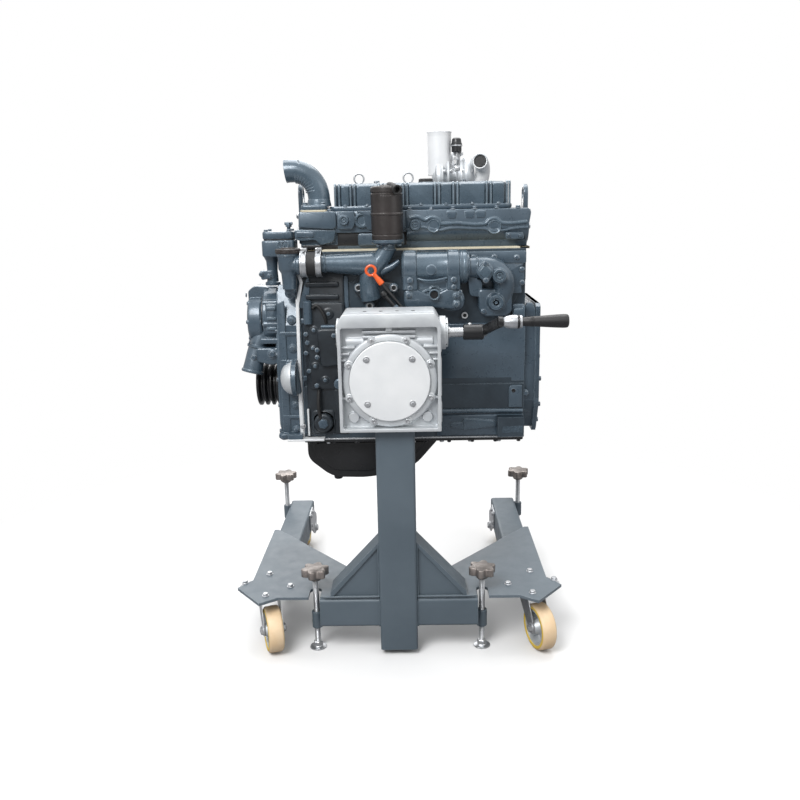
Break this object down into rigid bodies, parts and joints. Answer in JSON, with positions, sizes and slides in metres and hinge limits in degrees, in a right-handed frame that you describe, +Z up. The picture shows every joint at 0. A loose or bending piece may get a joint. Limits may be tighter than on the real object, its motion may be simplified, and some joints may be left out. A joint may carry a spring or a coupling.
{
  "type": "diesel engine",
  "caption": "Turbocharged in-line truck diesel engine bolted to a worm gearbox on a wheeled column stand with a hand crank, levelling jacks and swivel casters.",
  "frame": {"origin": "on the floor below the middle of the whole object", "axes": "+X along the crankshaft from the pulley to the flywheel, +Y from the hand crank's side back over the legs, +Z up"},
  "size_m": [0.896, 0.8936, 1.395],
  "materials": {
    "stand_paint": "satin blue-grey paint",
    "plate_paint": "satin blue-grey paint",
    "engine_paint": "semi-gloss blue-grey paint on castings",
    "cast_aluminium": "bead-blasted",
    "zinc": "zinc plated",
    "steel": "machined",
    "bronze": "machined",
    "black_metal": "semi-gloss black",
    "black_plastic": "matte",
    "canister_brown": "satin",
    "hose_rubber": "matte",
    "gasket": "matte",
    "caster_tyre": "matte",
    "knob_metal": "tumbled",
    "handle": "glossy orange",
    "manifold_iron": "bare, heat darkened"
  },
  "bodies": {
    "stand": {"column": "stand_paint", "cross_tube": "stand_paint", "legs": "stand_paint", "base_plates": "plate_paint", "column_braces": "stand_paint", "jack_sleeves": "black_metal", "stand_fasteners": "zinc", "caster_brackets": "zinc", "gearbox_housing": "cast_aluminium", "gearbox_cover": "cast_aluminium", "gearbox_disc": "cast_aluminium"},
    "engine": {"worm_wheel": "bronze", "engine_bracket": "stand_paint", "engine_block": "engine_paint", "bearing_caps": "manifold_iron", "cylinder_head": "engine_paint", "head_gasket": "gasket", "rocker_cover": "engine_paint", "valve_gear": "steel", "oil_pan": "black_metal", "gear_case": "engine_paint", "flywheel_housing": "engine_paint", "coolant_pump": "engine_paint", "thermostat_housing": "engine_paint", "coolant_hose": "hose_rubber", "coolant_pipe": "engine_paint", "oil_cooler": "engine_paint", "cooler_elbow": "engine_paint", "breather_canister": "canister_brown", "breather_pipe": "engine_paint", "outlet_elbow": "engine_paint", "lifting_eyes": "engine_paint", "exhaust_manifold": "manifold_iron", "turbocharger": "cast_aluminium", "engine_fasteners": "zinc"},
    "hand_crank": {"worm_shaft": "steel", "crank_arm": "black_metal"},
    "crankshaft": {"crankshaft": "steel", "crank_pulley": "black_metal", "flywheel": "steel"},
    "left_fork": {"left_fork": "zinc"},
    "right_fork": {"right_fork": "zinc"},
    "front_left_wheel": {"front_left_wheel": "caster_tyre"},
    "front_right_wheel": {"front_right_wheel": "caster_tyre"},
    "rear_left_wheel": {"rear_left_wheel": "caster_tyre"},
    "rear_right_wheel": {"rear_right_wheel": "caster_tyre"},
    "crank_grip": {"crank_grip": "black_plastic"},
    "camshaft": {"camshaft": "steel"},
    "turbo_rotor": {"turbo_rotor": "steel"},
    "dipstick": {"dipstick": "handle"},
    "outer_pistons": {"outer_pistons": "cast_aluminium"},
    "inner_pistons": {"inner_pistons": "cast_aluminium"},
    "front_left_screw": {"front_left_screw": "knob_metal"},
    "front_left_foot": {"front_left_foot": "zinc"},
    "front_right_screw": {"front_right_screw": "knob_metal"},
    "front_right_foot": {"front_right_foot": "zinc"},
    "rear_left_screw": {"rear_left_screw": "knob_metal"},
    "rear_left_foot": {"rear_left_foot": "zinc"},
    "rear_right_screw": {"rear_right_screw": "knob_metal"},
    "rear_right_foot": {"rear_right_foot": "zinc"}
  },
  "joints": [
    {"name": "engine_turn", "type": "hinge", "parent": "stand", "child": "engine", "pos_m": [-0.009, -0.32574, 0.7615], "axis": [0, 1, 0], "continuous": true},
    {"name": "crank_turn", "type": "hinge", "parent": "stand", "child": "hand_crank", "pos_m": [0.2, -0.33274, 0.8715], "axis": [1, 0, 0], "continuous": true},
    {"name": "grip_spin", "type": "hinge", "parent": "hand_crank", "child": "crank_grip", "pos_m": [0.34, -0.43076, 0.90913], "axis": [1, 0, 0], "continuous": true},
    {"name": "crankshaft_spin", "type": "hinge", "parent": "engine", "child": "crankshaft", "pos_m": [0.046, 0.01926, 0.675], "axis": [1, 0, 0], "continuous": true},
    {"name": "camshaft_spin", "type": "hinge", "parent": "engine", "child": "camshaft", "pos_m": [0.046, -0.03565, 0.79833], "axis": [1, 0, 0], "continuous": true},
    {"name": "turbo_spin", "type": "hinge", "parent": "engine", "child": "turbo_rotor", "pos_m": [0.177, 0.19426, 1.265], "axis": [1, 0, 0], "continuous": true},
    {"name": "dipstick_pull", "type": "slide", "parent": "engine", "child": "dipstick", "axis": [-0.6293, 0, 0.7771], "range_m": [0, 0.06]},
    {"name": "outer_piston_slide", "type": "slide", "parent": "engine", "child": "outer_pistons", "axis": [0, 0, 1], "range_m": [-0.125, 0]},
    {"name": "inner_piston_slide", "type": "slide", "parent": "engine", "child": "inner_pistons", "axis": [0, 0, 1], "range_m": [0, 0.125]},
    {"name": "left_swivel", "type": "hinge", "parent": "stand", "child": "left_fork", "pos_m": [-0.364, -0.28574, 0.145], "axis": [0, 0, 1], "continuous": true},
    {"name": "right_swivel", "type": "hinge", "parent": "stand", "child": "right_fork", "pos_m": [0.364, -0.28574, 0.145], "axis": [0, 0, 1], "continuous": true},
    {"name": "front_left_spin", "type": "hinge", "parent": "left_fork", "child": "front_left_wheel", "pos_m": [-0.34577, -0.33869, 0.0625], "axis": [0.9455, 0.3256, 0], "continuous": true},
    {"name": "front_right_spin", "type": "hinge", "parent": "right_fork", "child": "front_right_wheel", "pos_m": [0.38223, -0.33869, 0.0625], "axis": [0.9455, 0.3256, 0], "continuous": true},
    {"name": "rear_left_spin", "type": "hinge", "parent": "stand", "child": "rear_left_wheel", "pos_m": [-0.357, 0.38426, 0.0625], "axis": [1, 0, 0], "continuous": true},
    {"name": "rear_right_spin", "type": "hinge", "parent": "stand", "child": "rear_right_wheel", "pos_m": [0.357, 0.38426, 0.0625], "axis": [1, 0, 0], "continuous": true},
    {"name": "front_left_jack", "type": "slide", "parent": "stand", "child": "front_left_foot", "axis": [0, 0, 1], "range_m": [-0.02, 0.035]},
    {"name": "front_left_knob", "type": "hinge", "parent": "front_left_foot", "child": "front_left_screw", "pos_m": [-0.2255, -0.32574, 0.15], "axis": [0, 0, 1], "range_deg": [-3600, 6300]},
    {"name": "front_right_jack", "type": "slide", "parent": "stand", "child": "front_right_foot", "axis": [0, 0, 1], "range_m": [-0.02, 0.035]},
    {"name": "front_right_knob", "type": "hinge", "parent": "front_right_foot", "child": "front_right_screw", "pos_m": [0.2255, -0.32574, 0.15], "axis": [0, 0, 1], "range_deg": [-3600, 6300]},
    {"name": "rear_left_jack", "type": "slide", "parent": "stand", "child": "rear_left_foot", "axis": [0, 0, 1], "range_m": [-0.02, 0.035]},
    {"name": "rear_left_knob", "type": "hinge", "parent": "rear_left_foot", "child": "rear_left_screw", "pos_m": [-0.4105, 0.38626, 0.15], "axis": [0, 0, 1], "range_deg": [-3600, 6300]},
    {"name": "rear_right_jack", "type": "slide", "parent": "stand", "child": "rear_right_foot", "axis": [0, 0, 1], "range_m": [-0.02, 0.035]},
    {"name": "rear_right_knob", "type": "hinge", "parent": "rear_right_foot", "child": "rear_right_screw", "pos_m": [0.4105, 0.38626, 0.15], "axis": [0, 0, 1], "range_deg": [-3600, 6300]}
  ],
  "couplings": [
    {"joint": "crank_turn", "follows": "engine_turn", "ratio": 44},
    {"joint": "camshaft_spin", "follows": "crankshaft_spin", "ratio": -0.5},
    {"joint": "inner_piston_slide", "follows": "outer_piston_slide", "ratio": -1},
    {"joint": "front_left_knob", "follows": "front_left_jack", "rad_per_m": 3141.6},
    {"joint": "front_right_knob", "follows": "front_right_jack", "rad_per_m": 3141.6},
    {"joint": "rear_left_knob", "follows": "rear_left_jack", "rad_per_m": 3141.6},
    {"joint": "rear_right_knob", "follows": "rear_right_jack", "rad_per_m": 3141.6}
  ]
}
